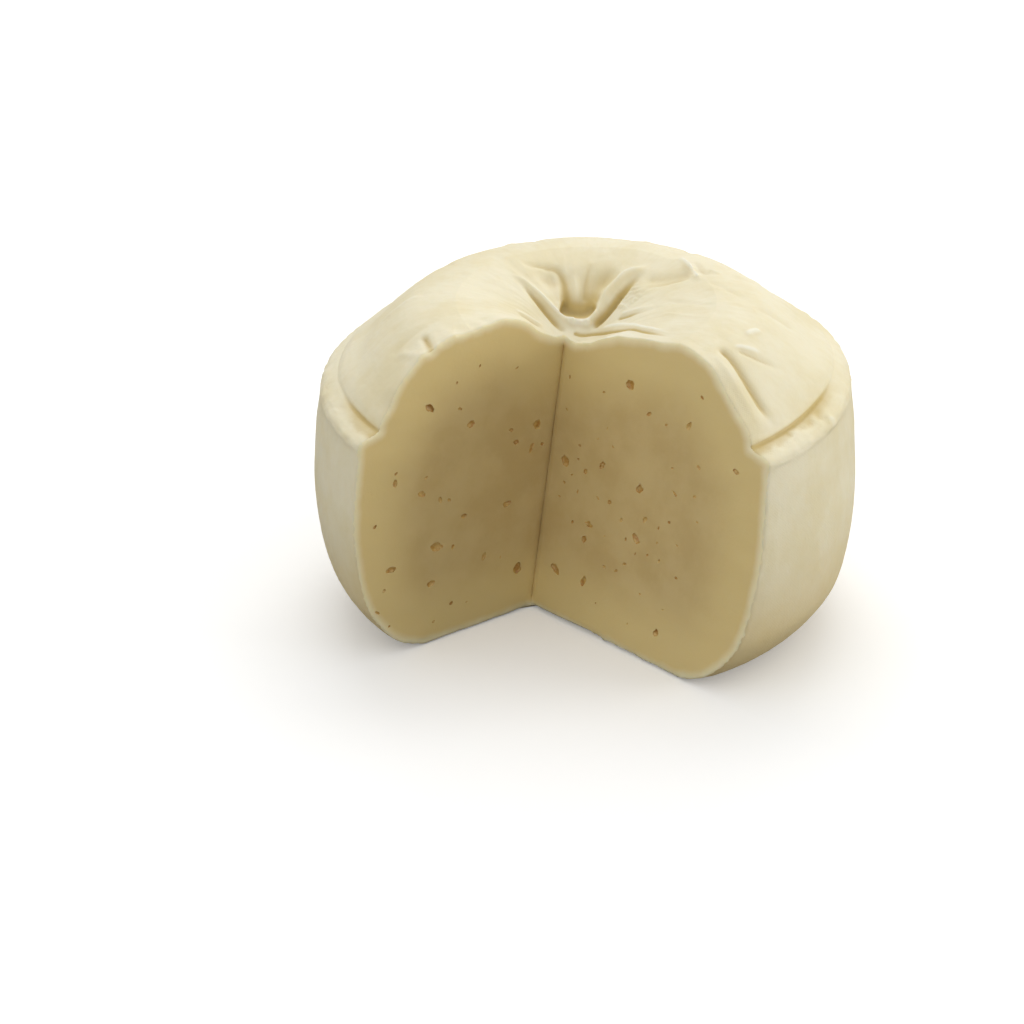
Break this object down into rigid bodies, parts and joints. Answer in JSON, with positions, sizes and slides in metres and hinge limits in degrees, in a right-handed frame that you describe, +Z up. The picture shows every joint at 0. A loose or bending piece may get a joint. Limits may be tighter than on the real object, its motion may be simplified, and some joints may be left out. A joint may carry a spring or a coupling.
{
  "type": "cheese wheel",
  "caption": "Round cloth-pressed cheese wheel with a gathered crater on top, a ledge round its shoulder and a wedge cut out, showing small eyes in the paste.",
  "frame": {"origin": "on the wheel's axis, in the plane of the flat base it stands on", "axes": "+Z up along the wheel's axis, the cut wedge opens to -Y, +X to the right as seen from the cut"},
  "size_m": [0.148, 0.1342, 0.0926],
  "materials": {
    "cheese": "soft ivory rind over pale yellow paste"
  },
  "bodies": {
    "root": {"cheese_wheel": "cheese"}
  },
  "joints": []
}
